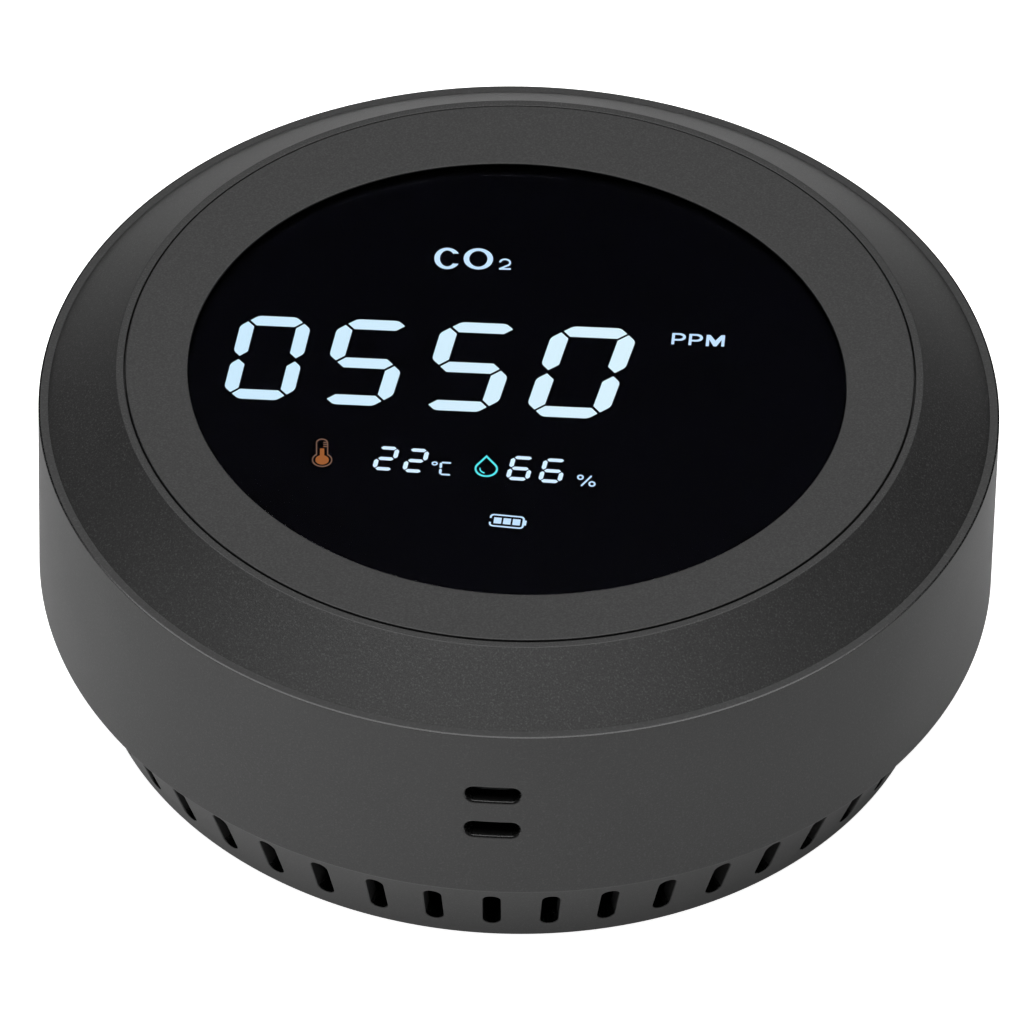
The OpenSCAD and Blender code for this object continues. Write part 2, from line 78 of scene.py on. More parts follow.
# Housing: an upright wall, an undercut and a sloping lower band with a ledge inside its foot.
WALL = 2.0
UNDERCUT_R = BODY_R - 1.5
UNDERCUT_Z = BASE_Z + 12.3
BAND_FOOT_R = 46.3
BAND_SLOPE = (UNDERCUT_R - BAND_FOOT_R) / (UNDERCUT_Z - BASE_Z)
LEDGE_R = 42.8
LEDGE_Z = BASE_Z + 1.4

# Ring: it stands almost against the rim, whose bevel is given as (across, down).
RIM_IN_R = RING_FOOT_R + 0.004
RIM_BEVEL = (0.2, 0.075)
RING_FOOT_Z = RIM_Z + 0.05
SHELF_Z = RING_FOOT_Z - 1.1
RECESS_R = 43.15
INNER_LIP = 0.85
SKIN = 2.2
TRAY_R = RECESS_R - 1.95
TRAY_HOLE_R = 35.0
TRAY_T = 1.6
SPIGOT_R = BODY_R - WALL - 0.3
SPIGOT_IN_R = SPIGOT_R - 1.8
SPIGOT_FOOT = RING_FOOT_Z - 3

# Window: a slightly turned oval.
WINDOW_A = 36.0
WINDOW_B = 34.5
WINDOW_TURN = math.radians(-14.5)
WINDOW_AT = Vector((-0.255, -1.29))
FLANGE_TOP = PLATE_Z - 0.15

# Openings: (width, height, corner radius), and angles in degrees about the middle.
VENTS = 48
VENT_SIZE = (1.95, 6.3, 0.895)
VENT_Z = BASE_Z + 5.9
FRONT = -90.0
REAR = 90.0
SLOT_SIZE = (6.0, 2.0, 1.0)
SLOT_Z = (BASE_Z + 21.85, BASE_Z + 27.0)
USB_Z = (low("usb_socket", 2) + high("usb_socket", 2)) / 2
USB_SIZE = (9.44, 3.76, 1.88)
USB_RELIEF = (12.54, 6.86, 3.43)
USB_RELIEF_DEPTH = 1.1
BUTTON_ANGLE = 68.0
BUTTON_Z = (low("power_button", 2) + high("power_button", 2)) / 2
BUTTON_R = 3.0
BUTTON_HOLE = (6.15, 6.15, 3.075)
BUTTON_DISH = (9.0, 9.0, 4.5)
BUTTON_DISH_DEPTH = 0.35
BUTTON_FACE = BODY_R - 0.3
BUTTON_COLLAR_R = BUTTON_R + 1
BUTTON_COLLAR = (49.2, 50.0)
BUTTON_PIN_R = 1.1
BUTTON_PIN_FOOT = 47.6

# Thermometer icon: a bulb and a column in a leaning outline.
BULB_UP = 1.1
BULB_R = 0.86
COLUMN_FROM_BULB = Vector((-0.06, 1.0, 0))
COLUMN_HALF = (0.38, 1.4)
THERMOMETER_LEAN = 3.5

# Mesh density and edge rounding. The first column of points falls between two vents, and
# support points keep the shading flat beside an arc.
COLUMNS = 384
FIRST_ANGLE = 180.0 / VENTS
CORNER_STEPS = 8
LONGEST_STEP = 1.0
BUTTON_SIDES = 64
EDGE_ROUND = 0.15
SLOT_ROUND = 0.35
DISH_ROUND = 0.08
USB_CHAMFER = 0.12
DISH_CHAMFER = 0.1
SUPPORT = 0.05
WELD = 0.0008
SAME_POINT = 1e-6
SHARP_ANGLE = 35.0


# ---------------------------------------------------------------- mesh tools

class Mesh:
    """Collects loops and patches in millimetres, then makes one smooth piece of them."""

    def __init__(self):
        self.bm = bmesh.new()

    def loop(self, points):
        return [self.bm.verts.new(p) for p in points]

    def strip(self, a, b):
        count = len(a)
        for i in range(count):
            j = (i + 1) % count
            self.bm.faces.new((a[i], a[j], b[j], b[i]))

    def loft(self, loops, closed=False):
        rings = [self.loop(points) for points in loops]
        for a, b in zip(rings, rings[1:]):
            self.strip(a, b)
        if closed:
            self.strip(rings[-1], rings[0])
        return rings

    def cap(self, ring, centre):
        tip = self.bm.verts.new(centre)
        for i, vert in enumerate(ring):
            self.bm.faces.new((vert, ring[(i + 1) % len(ring)], tip))

    def lathe(self, profile, closed=False):
        return self.loft([circle(r, z) for r, z in profile], closed)

    def piece(self, name, body, finish, slot, *nodes):
        bm = self.bm
        sharp = math.radians(SHARP_ANGLE)
        bmesh.ops.remove_doubles(bm, verts=bm.verts, dist=WELD)
        bmesh.ops.recalc_face_normals(bm, faces=bm.faces)
        for face in bm.faces:
            face.smooth = True
        for edge in bm.edges:
            edge.smooth = len(edge.link_faces) == 2 and edge.calc_face_angle() < sharp
        bmesh.ops.scale(bm, vec=(MM, MM, MM), verts=bm.verts)
        mesh = bpy.data.meshes.new(name)
        bm.to_mesh(mesh)
        bm.free()
        mesh.materials.append(finish)
        piece = bpy.data.objects.new(name, mesh)
        bpy.context.scene.collection.objects.link(piece)
        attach(piece, body)
        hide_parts(*nodes)


def circle(r, z, start=FIRST_ANGLE):
    turn = [math.radians(start + 360.0 * i / COLUMNS) for i in range(COLUMNS)]
    return [Vector((r * math.cos(t), r * math.sin(t), z)) for t in turn]


def oval(grow, z):
    """The window's outline, grown outwards."""
    turn = [2 * math.pi * i / COLUMNS for i in range(COLUMNS)]
    at = Matrix.Rotation(WINDOW_TURN, 2)
    points = [at @ Vector(((WINDOW_A + grow) * math.cos(t), (WINDOW_B + grow) * math.sin(t)))
              for t in turn]
    return [Vector((p.x + WINDOW_AT.x, p.y + WINDOW_AT.y, z)) for p in points]


def rounded(corners, steps=5):
    """Open outline through (x, y, radius) corners, with an arc and supports at the round ones."""
    points = []
    for i, (x, y, radius) in enumerate(corners):
        here = Vector((x, y))
        if radius == 0 or i in (0, len(corners) - 1):
            points.append(here)
            continue
        back = (Vector(corners[i - 1][:2]) - here).normalized()
        ahead = (Vector(corners[i + 1][:2]) - here).normalized()
        half = back.angle(ahead) / 2
        reach = radius / math.tan(half)
        centre = here + (back + ahead).normalized() * radius / math.sin(half)
        first = here + back * reach - centre
        sweep = first.angle_signed(here + ahead * reach - centre)
        points.append(here + back * (reach + SUPPORT))
        for k in range(steps + 1):
            points.append(centre + Matrix.Rotation(-sweep * k / steps, 2) @ first)
        points.append(here + ahead * (reach + SUPPORT))
    return points


def outline(size, grow=0.0):
    """Rounded rectangle (width, height, corner radius) as a ring of points, grown outwards."""
    w, h, r = size
    corners = ((w / 2 - r, h / 2 - r, 0), (r - w / 2, h / 2 - r, 90),
               (r - w / 2, r - h / 2, 180), (w / 2 - r, r - h / 2, 270))
    ring = []
    for x, y, start in corners:
        for k in range(CORNER_STEPS + 1):
            a = math.radians(start + 90 * k / CORNER_STEPS)
            ring.append(Vector((x + (r + grow) * math.cos(a), y + (r + grow) * math.sin(a))))
    points = []
    for i, p in enumerate(ring):
        q = ring[(i + 1) % len(ring)]
        gap = (q - p).length
        parts = math.ceil(gap / LONGEST_STEP)
        if gap > SAME_POINT:
            points += [p.lerp(q, k / parts) for k in range(parts)]
    return points


class Hole:
    """A straight hole that points outwards at an angle, through the wall of the housing."""

    def __init__(self, angle, z, size):
        self.angle = math.radians(angle)
        self.z = z
        self.size = size
        self.out = Vector((math.cos(self.angle), math.sin(self.angle), 0))
        self.side = Vector((-math.sin(self.angle), math.cos(self.angle), 0))

    def on_surface(self, radius_at, grow=0.0, depth=0.0, size=None):
        points = []
        for x, y in outline(size or self.size, grow):
            reach = math.sqrt(radius_at(self.z + y) ** 2 - x * x) - depth
            points.append(self.out * reach + self.side * x + Vector((0, 0, self.z + y)))
        return points

    def flat(self, reach, grow=0.0, size=None):
        return [self.out * reach + self.side * x + Vector((0, 0, self.z + y))
                for x, y in outline(size or self.size, grow)]


def punched_surface(mesh, radius_at, rows, rings):
    """A band of triangles on the surface r = radius_at(z), open inside each ring of points.

    It is laid out flat, with the angle as x and the height as y, to be cut into triangles.
    """
    scale = BODY_R
    start = math.radians(FIRST_ANGLE)
    step = 2 * math.pi / COLUMNS
    clear = 0.45
    places = 5

    def flat(p):
        return Vector((((math.atan2(p.y, p.x) - start) % (2 * math.pi)) * scale, p.z))

    loops = [[flat(p) for p in ring] for ring in rings]
    boxes = [(min(p.x for p in loop) - clear, max(p.x for p in loop) + clear,
              min(p.y for p in loop) - clear, max(p.y for p in loop) + clear) for loop in loops]
    points = []
    for row, z in enumerate(rows):
        edge = row in (0, len(rows) - 1)
        for i in range(COLUMNS + 1):
            p = Vector((i * step * scale, z))
            covered = any(b[0] < p.x < b[1] and b[2] < p.y < b[3] for b in boxes)
            if edge or not covered:
                points.append(p)
    owner = [-1] * len(points)
    edges = []
    for number, loop in enumerate(loops):
        first = len(points)
        points += loop
        owner += [number] * len(loop)
        edges += [(first + i, first + (i + 1) % len(loop)) for i in range(len(loop))]
    verts, _, faces, sources, _, _ = delaunay_2d_cdt(points, edges, [], 0, 10 ** -places)
    owners = [owner[source[0]] if source else -1 for source in sources]
    made = []
    for p in verts:
        angle = start + p.x / scale
        r = radius_at(p.y)
        made.append(mesh.bm.verts.new((r * math.cos(angle), r * math.sin(angle), p.y)))
    for face in faces:
        inside = {owners[i] for i in face}
        if len(inside) == 1 and -1 not in inside:
            continue
        wide = len({round(verts[i].x, places) for i in face}) > 1
        tall = len({round(verts[i].y, places) for i in face}) > 1
        if wide and tall:
            mesh.bm.faces.new([made[i] for i in face])


def round_rim(hole, radius_at, size=None, radius=EDGE_ROUND, steps=4):
    """Loops from the surface round the hole's outer edge and into the hole."""
    loops = [hole.on_surface(radius_at, radius + SUPPORT, 0, size)]
    for k in range(steps + 1):
        a = math.radians(90 * k / steps)
        grow = radius * (1 - math.sin(a))
        loops.append(hole.on_surface(radius_at, grow, radius * (1 - math.cos(a)), size))
    loops.append(hole.on_surface(radius_at, 0, radius + SUPPORT, size))
    return loops


def sunk_rim(hole, sunk_size, sunk_depth, radius, chamfer):
    """Loops from the wall into a sunk floor round the hole, then in over its chamfered edge."""
    floor = BODY_R - sunk_depth
    return round_rim(hole, wall_radius, sunk_size, radius) + [
        hole.flat(floor, 0, sunk_size), hole.flat(floor, chamfer), hole.flat(floor - chamfer),
        hole.on_surface(wall_inner)]


# ---------------------------------------------------------------- finishes

# Noise: scales in cells per metre, and the span that most of its values lie in.
NOISE_SPAN = (0.3, 0.7)
GRAIN_TONE = 0.12
GRAIN_BUMP = 0.3
GRAIN_HEIGHT = 0.25
GRAIN_PATCHES = 60.0
GRAIN_DRIFT = 0.03
PAINT_GRAIN = 7000.0
PAINT_FLAKES = 5200.0
PAINT_PATCHES = 45.0
PAINT_STOPS = (0.32, 0.6, 0.72)
PAINT_HEIGHT = 0.00004
PAINT_DRIFT = 0.02

# Edges that shine: the upward part of their normal as (middle, half width), and the roughness.
EDGE_FACING = (0.6, 0.39)
EDGE_ROUGHNESS = 0.15

# Lens, the black behind it and the lit print.
ACRYLIC_IOR = 1.49
ACRYLIC_TINT = (0.97, 0.98, 1.0, 1.0)
LENS_SHEEN = 0.006
LENS_HAZE = (0.01, 0.03)
LENS_PATCHES = 30.0
GLOSSLESS_IOR = 1.02
TRAP_GRAIN = 200.0
TRAP_TONES = ((0.0016, 0.0016, 0.0026), (0.0022, 0.0022, 0.0036))
TRAP_ROUGHNESS = (0.55, 0.65)
UNLIT = (0.003, 0.003, 0.003, 1.0)
TINT_SPAN = (-0.033, 0.013)
LIQUID_STOPS = (0.96, 1.0)

CASE_TONE = (0.0165, 0.0165, 0.0165)
PLATE_TONE = (0.0175, 0.0175, 0.0175)
WHITE = (1.0, 1.0, 1.0, 1.0)


def new_material(name):
    material = bpy.data.materials.new(name)
    material.use_nodes = True
    tree = material.node_tree
    shader = tree.nodes["Principled BSDF"]
    return material, tree, shader


def node(tree, kind, **values):
    made = tree.nodes.new(kind)
    for key, value in values.items():
        if key in made.inputs:
            made.inputs[key].default_value = value
        else:
            setattr(made, key, value)
    return made


def object_axis(tree, axis):
    at = node(tree, "ShaderNodeTexCoord")
    axes = node(tree, "ShaderNodeSeparateXYZ")
    tree.links.new(at.outputs["Object"], axes.inputs["Vector"])
    return axes.outputs[axis]


def map_range(tree, source, span, values=(0.0, 1.0), **settings):
    """A Map Range node from span to values, each as (first, last)."""
    made = node(tree, "ShaderNodeMapRange", **settings)
    made.inputs["From Min"].default_value, made.inputs["From Max"].default_value = span
    made.inputs["To Min"].default_value, made.inputs["To Max"].default_value = values
    tree.links.new(source, made.inputs["Value"])
    return made


def noise(tree, scale, detail=2.0, roughness=0.5):
    at = node(tree, "ShaderNodeTexCoord")
    made = node(tree, "ShaderNodeTexNoise", Scale=scale, Detail=detail, Roughness=roughness)
    tree.links.new(at.outputs["Object"], made.inputs["Vector"])
    return made.outputs["Fac"]


def ramp(tree, source, stops):
    """A colour ramp through stops, each a (place, colour)."""
    stops = list(stops)
    made = node(tree, "ShaderNodeValToRGB")
    elements = made.color_ramp.elements
    while len(elements) < len(stops):
        elements.new(0.5)
    for element, (place, colour) in zip(elements, stops):
        element.position = place
        element.color = (*colour, 1.0)
    tree.links.new(source, made.inputs["Fac"])
    return made.outputs["Color"]


def spread(tree, source, values):
    """Noise turned into values between the two given."""
    return map_range(tree, source, NOISE_SPAN, values).outputs["Result"]


def bump(tree, shader, height, strength, distance):
    made = node(tree, "ShaderNodeBump", Strength=strength, Distance=distance)
    tree.links.new(height, made.inputs["Height"])
    tree.links.new(made.outputs["Normal"], shader.inputs["Normal"])


def shades(colour, amount):
    """The colour made darker, then lighter, by a share of itself."""
    return (tuple(c * (1 - amount) for c in colour), tuple(c * (1 + amount) for c in colour))


def grained(name, colour, rough, metallic=0.0, grain=0.0002):
    """A moulded, sprayed or plated finish: tone and bump follow the grain, gloss drifts slowly."""
    material, tree, shader = new_material(name)
    fine = noise(tree, 1 / grain, 3.0)
    tones = ramp(tree, fine, zip(NOISE_SPAN, shades(colour, GRAIN_TONE)))
    gloss = spread(tree, noise(tree, GRAIN_PATCHES), (rough - GRAIN_DRIFT, rough + GRAIN_DRIFT))
    tree.links.new(tones, shader.inputs["Base Color"])
    tree.links.new(gloss, shader.inputs["Roughness"])
    bump(tree, shader, fine, GRAIN_BUMP, grain * GRAIN_HEIGHT)
    shader.inputs["Metallic"].default_value = metallic
    return material


def edge_gloss(tree, roughness):
    """The given roughness, but EDGE_ROUGHNESS where the surface faces partly upwards."""
    facing = node(tree, "ShaderNodeNewGeometry")
    upwards = node(tree, "ShaderNodeSeparateXYZ")
    sloping = node(tree, "ShaderNodeMath", operation="COMPARE")
    sloping.inputs[1].default_value, sloping.inputs[2].default_value = EDGE_FACING
    tree.links.new(facing.outputs["Normal"], upwards.inputs["Vector"])
    tree.links.new(upwards.outputs["Z"], sloping.inputs[0])
    edge = map_range(tree, sloping.outputs["Value"], (0.0, 1.0), (0.0, EDGE_ROUGHNESS))
    tree.links.new(roughness, edge.inputs["To Min"])
    return edge.outputs["Result"]


def satin_paint(name, colour, rough, sparkle, tone=0.2, depth=0.25, bright_edges=False):
    """Dark satin finish with a very fine grain and a few bright flakes.

    With bright_edges, the narrow edges that face partly upwards shine, as moulded edges do.
    """
    material, tree, shader = new_material(name)
    fine = noise(tree, PAINT_GRAIN, roughness=0.6)
    flake = noise(tree, PAINT_FLAKES, 1.0)
    broad = noise(tree, PAINT_PATCHES)
    bright = tuple(c * sparkle for c in colour)
    base = ramp(tree, flake, zip(PAINT_STOPS, (*shades(colour, tone), bright)))
    tree.links.new(base, shader.inputs["Base Color"])
    gloss = spread(tree, broad, (rough - PAINT_DRIFT, rough + PAINT_DRIFT))
    if bright_edges:
        gloss = edge_gloss(tree, gloss)
    tree.links.new(gloss, shader.inputs["Roughness"])
    bump(tree, shader, fine, depth, PAINT_HEIGHT)
    return material


def clear_lens(name):
    """Coated acrylic: it bends light as acrylic does and mirrors almost none of it."""
    material, tree, shader = new_material(name)
    tree.nodes.remove(shader)
    haze = spread(tree, noise(tree, LENS_PATCHES), LENS_HAZE)
    clear = node(tree, "ShaderNodeBsdfRefraction", IOR=ACRYLIC_IOR, Color=ACRYLIC_TINT)
    sheen = node(tree, "ShaderNodeBsdfAnisotropic")
    mix = node(tree, "ShaderNodeMixShader", Fac=LENS_SHEEN)
    for part in (clear, sheen):
        tree.links.new(haze, part.inputs["Roughness"])
    tree.links.new(clear.outputs["BSDF"], mix.inputs[1])
    tree.links.new(sheen.outputs["BSDF"], mix.inputs[2])
    tree.links.new(mix.outputs["Shader"], tree.nodes["Material Output"].inputs["Surface"])
    return material


def light_trap(name):
    """Black that hardly shines, for what shows behind the window."""
    material, tree, shader = new_material(name)
    shade = noise(tree, TRAP_GRAIN)
    tones = ramp(tree, shade, zip(NOISE_SPAN, TRAP_TONES))
    tree.links.new(tones, shader.inputs["Base Color"])
    tree.links.new(spread(tree, shade, TRAP_ROUGHNESS), shader.inputs["Roughness"])
    shader.inputs["IOR"].default_value = GLOSSLESS_IOR
    shader.inputs["Specular IOR Level"].default_value = 0.0
    return material


def glowing(name, strength):
    """Black that gives off light and hardly shines. Its tint is linked by the caller."""
    material, tree, shader = new_material(name)
    shader.inputs["Emission Strength"].default_value = strength
    shader.inputs["Base Color"].default_value = UNLIT
    shader.inputs["Roughness"].default_value = 0.6
    shader.inputs["IOR"].default_value = GLOSSLESS_IOR
    shader.inputs["Specular IOR Level"].default_value = 0.0
    return material, tree, shader


def lit(name, left, right, strength):
    """Backlit print: the tint drifts from left to right across the display."""
    material, tree, shader = glowing(name, strength)
    along = map_range(tree, object_axis(tree, "X"), TINT_SPAN)
    tint = ramp(tree, along.outputs["Result"], ((0.0, left), (1.0, right)))
    tree.links.new(tint, shader.inputs["Emission Color"])
    return material


def lit_thermometer(name, outline_tint, liquid_tint, strength):
    """Backlit print in two tones: a dim outline, with a warmer bulb and column inside it."""
    material, tree, shader = glowing(name, strength)
    middle = (low("thermometer_icon", 0) + high("thermometer_icon", 0)) / 2
    bulb = Vector((middle, low("thermometer_icon", 1) + BULB_UP, 0))
    column = bulb + COLUMN_FROM_BULB
    ovals = ((bulb, BULB_R, BULB_R), (column, *COLUMN_HALF))
    inside = node(tree, "ShaderNodeMath", operation="MINIMUM")
    for slot, (centre, half_w, half_h) in enumerate(ovals):
        at = node(tree, "ShaderNodeTexCoord")
        local = node(tree, "ShaderNodeMapping", vector_type="TEXTURE")
        local.inputs["Location"].default_value = centre * MM
        local.inputs["Rotation"].default_value = (0, 0, math.radians(THERMOMETER_LEAN))
        local.inputs["Scale"].default_value = (half_w * MM, half_h * MM, 1)
        away = node(tree, "ShaderNodeVectorMath", operation="LENGTH")
        tree.links.new(at.outputs["Object"], local.inputs["Vector"])
        tree.links.new(local.outputs["Vector"], away.inputs[0])
        tree.links.new(away.outputs["Value"], inside.inputs[slot])
    tint = ramp(tree, inside.outputs["Value"], zip(LIQUID_STOPS, (liquid_tint, outline_tint)))
    tree.links.new(tint, shader.inputs["Emission Color"])
    return material


CASE = satin_paint("case_grey", CASE_TONE, 0.46, 2.2, bright_edges=True)
RING = satin_paint("ring_grey", CASE_TONE, 0.46, 3.0, 0.35, 0.4)
PLATE = satin_paint("plate_grey", PLATE_TONE, 0.46, 2.0, 0.32, 0.3)
BUTTON = grained("button_grey", (0.022, 0.022, 0.022), 0.5, grain=0.0003)
LENS = clear_lens("window_lens")

CAD_FINISH = {
    "bottom_cover": grained("cover_grey", (0.028, 0.028, 0.028), 0.6, grain=0.0004),
    "window_adhesive": light_trap("adhesive"),
    "panel_frame": light_trap("frame_black"),
    "display_panel": light_trap("panel_black"),
    "main_digits": lit("lit_digits", (0.63, 0.85, 0.98), (0.74, 0.92, 0.98), 1.02),
    "small_digits": lit("lit_small", (0.69, 0.85, 1.0), (0.67, 0.84, 1.0), 1.1),
    "unit_labels": lit("lit_labels", (0.63, 0.83, 1.0), (0.57, 0.77, 1.0), 1.05),
    "thermometer_icon": lit_thermometer("lit_orange", (0.2, 0.108, 0.073), (0.34, 0.11, 0.03), 1.0),
    "drop_icon": lit("lit_cyan", (0.1, 0.76, 0.79), (0.1, 0.78, 0.82), 1.05),
    "battery_icon": lit("lit_battery", (0.58, 0.78, 1.0), (0.58, 0.78, 1.0), 1.05),
    "backlight": grained("white_plastic", (0.7, 0.7, 0.7), 0.4),
    "display_board": grained("circuit_board", (0.01, 0.08, 0.03), 0.35, grain=0.0006),
    "display_screws": grained("screw_steel", (0.5, 0.5, 0.5), 0.3, 1.0),
    "driver_chip": grained("chip_black", (0.015, 0.015, 0.015), 0.55),
    "display_socket": grained("ivory_plastic", (0.5, 0.45, 0.33), 0.5),
    "display_cable": grained("flat_cable", (0.55, 0.55, 0.52), 0.4),
    # Painted shade: the climate board is made near-black so that the view through the front slots
    # is as dark as the shade inside them.
    "climate_board": grained("board_black_painted_shade", (0.006, 0.006, 0.006), 0.5),
    "rubber_feet": grained("foot_rubber", (0.018, 0.018, 0.018), 0.8),
    "co2_sensor": grained("sensor_metal", (0.6, 0.42, 0.18), 0.35, 1.0),
    "sensor_membrane": grained("membrane_white", (0.7, 0.7, 0.7), 0.8),
    "sensor_pins": grained("pin_brass", (0.7, 0.52, 0.22), 0.3, 1.0),
    "battery_pad": grained("foam_pad", (0.05, 0.05, 0.05), 0.9, grain=0.0005),
    "battery_cell": grained("battery_foil", (0.25, 0.25, 0.26), 0.45, 0.6),
    "battery_lead_red": grained("lead_red", (0.3, 0.01, 0.01), 0.5),
    "battery_lead_black": grained("lead_black", (0.015, 0.015, 0.015), 0.5),
    "usb_socket": grained("socket_steel", (0.55, 0.55, 0.57), 0.28, 1.0),
}
SAME_FINISH = {
    "cover_screws": "display_screws", "board_screws": "display_screws",
    "main_board": "display_board", "climate_chip": "driver_chip",
    "microcontroller": "driver_chip", "charger_chip": "driver_chip",
    "main_socket": "display_socket", "battery_connector": "display_socket",
    "switch_plunger": "display_socket", "usb_tongue": "driver_chip",
    "switch_body": "driver_chip", "buzzer": "driver_chip",
}


def finish_cad_nodes():
    alike = {name: CAD_FINISH[other] for name, other in SAME_FINISH.items()}
    for name, material in (CAD_FINISH | alike).items():
        slots = NODES[name].data.materials
        if not slots:
            slots.append(material)
        for i in range(len(slots)):
            slots[i] = material


# ---------------------------------------------------------------- pieces

def band_radius(z):
    return BAND_FOOT_R + BAND_SLOPE * (z - BASE_Z)


def band_inner(z):
    return band_radius(z) - WALL


def wall_radius(z):
    return BODY_R


def wall_inner(z):
    return BODY_R - WALL


def spaced(first, last, gap):
    parts = max(1, round(abs(last - first) / gap))
    return [first + (last - first) * i / parts for i in range(parts + 1)]


def vent_holes():
    return [Hole(FRONT + 360.0 * i / VENTS, VENT_Z, VENT_SIZE) for i in range(VENTS)]


def make_housing():
    mesh = Mesh()
    band_from, band_to = BASE_Z + 1.5, BASE_Z + 10
    wall_from, wall_to = UNDERCUT_Z + 1, RIM_Z - 0.9
    inner_from, inner_to = UNDERCUT_Z + WALL + 0.7, SHELF_Z - 0.5
    rim = LEDGE_Z + 1
    foot_in = LEDGE_R + 1.5

    # Foot, undercut and rim, then the corners of the inside.
    mesh.lathe(rounded(((foot_in, BASE_Z, 0), (BAND_FOOT_R, BASE_Z, 0.3),
                        (band_radius(band_from), band_from, 0))))
    mesh.lathe(rounded(((band_radius(band_to), band_to, 0), (UNDERCUT_R, UNDERCUT_Z, 0.2),
                        (BODY_R, UNDERCUT_Z, 0.4), (BODY_R, wall_from, 0)), 8))
    mesh.lathe(rounded(((BODY_R, wall_to, 0), (BODY_R, RIM_Z - RIM_BEVEL[1], 0.04),
                        (BODY_R - RIM_BEVEL[0], RIM_Z, 0.06), (RIM_IN_R, RIM_Z, 0),
                        (RIM_IN_R, SHELF_Z, 0), (wall_inner(0), SHELF_Z, 0),
                        (wall_inner(0), inner_to, 0))))
    mesh.lathe([Vector(p) for p in (
        (wall_inner(0), inner_from), (wall_inner(0), UNDERCUT_Z + WALL),
        (UNDERCUT_R - WALL, UNDERCUT_Z + WALL), (UNDERCUT_R - WALL, UNDERCUT_Z),
        (band_inner(band_to), band_to))])
    mesh.lathe([Vector(p) for p in (
        (band_inner(rim), rim), (LEDGE_R, rim), (LEDGE_R, LEDGE_Z), (foot_in, LEDGE_Z),
        (foot_in, BASE_Z))])

    # The band and its vents.
    vents = vent_holes()
    punched_surface(mesh, band_radius, spaced(band_from, band_to, 1.0),
                    [hole.on_surface(band_radius, EDGE_ROUND + SUPPORT) for hole in vents])
    punched_surface(mesh, band_inner, spaced(rim, band_to, 1.0),
                    [hole.on_surface(band_inner) for hole in vents])
    for hole in vents:
        mesh.loft(round_rim(hole, band_radius) + [hole.on_surface(band_inner)])

    # The upright wall and its openings.
    slots = [Hole(FRONT, z, SLOT_SIZE) for z in SLOT_Z]
    usb = Hole(REAR, USB_Z, USB_SIZE)
    button = Hole(BUTTON_ANGLE, BUTTON_Z, BUTTON_HOLE)
    through = slots + [usb, button]
    mouths = [(hole, None, SLOT_ROUND) for hole in slots]
    mouths += [(usb, USB_RELIEF, EDGE_ROUND), (button, BUTTON_DISH, DISH_ROUND)]
    punched_surface(mesh, wall_radius, spaced(wall_from, wall_to, 1.5),
                    [hole.on_surface(wall_radius, grow + SUPPORT, 0, size)
                     for hole, size, grow in mouths])
    punched_surface(mesh, wall_inner, spaced(inner_from, inner_to, 1.5),
                    [hole.on_surface(wall_inner) for hole in through])
    for hole in slots:
        mesh.loft(round_rim(hole, wall_radius, radius=SLOT_ROUND, steps=6)
                  + [hole.on_surface(wall_inner)])
    mesh.loft(sunk_rim(usb, USB_RELIEF, USB_RELIEF_DEPTH, EDGE_ROUND, USB_CHAMFER))
    mesh.loft(sunk_rim(button, BUTTON_DISH, BUTTON_DISH_DEPTH, DISH_ROUND, DISH_CHAMFER))
    mesh.piece("housing_shell", "case", CASE, "case_grey", "side_housing")


def make_ring():
    mesh = Mesh()
    chamfer_top = RECESS_R + INNER_LIP
    fall = (RING_TOP - RING_FOOT_Z) / (RING_FOOT_R - chamfer_top)
    under = RING_TOP - SKIN
    corners = ((RING_FOOT_R, SHELF_Z, 0), (RING_FOOT_R, RIM_Z, 0),
               (chamfer_top, RING_TOP, 0.2), (RECESS_R, RING_TOP, 0.1),
               (RECESS_R, PLATE_Z, 0), (TRAY_R, PLATE_Z, 0), (TRAY_R, TRAY_Z, 0),
               (TRAY_HOLE_R, TRAY_Z, 0), (TRAY_HOLE_R, TRAY_Z - TRAY_T, 0),
               (RECESS_R, TRAY_Z - TRAY_T, 0), (RECESS_R, under, 0), (chamfer_top, under, 0),
               (SPIGOT_IN_R, under - (SPIGOT_IN_R - chamfer_top) * fall, 0),
               (SPIGOT_IN_R, SPIGOT_FOOT, 0), (SPIGOT_R, SPIGOT_FOOT, 0), (SPIGOT_R, SHELF_Z, 0))
    mesh.lathe(rounded(corners), closed=True)
    mesh.piece("ring_shell", "case", RING, "case_grey", "top_ring")


def make_plate():
    mesh = Mesh()
    inset = 1.0
    start = math.degrees(WINDOW_TURN)
    loops = [circle(PLATE_R, PLATE_Z, start=start)]
    for r, z in rounded(((PLATE_R, PLATE_Z, 0), (PLATE_R, FACE_Z, 0.12),
                         (PLATE_R - inset, FACE_Z, 0)))[1:]:
        loops.append(circle(r, z, start=start))
    loops.append(oval(inset, FACE_Z))
    for grow, z in rounded(((inset, FACE_Z, 0), (0, FACE_Z, 0.1), (0, PLATE_Z, 0)))[1:]:
        loops.append(oval(grow, z))
    mesh.loft(loops, closed=True)
    mesh.piece("plate_disc", "case", PLATE, "plate_grey", "face_plate")


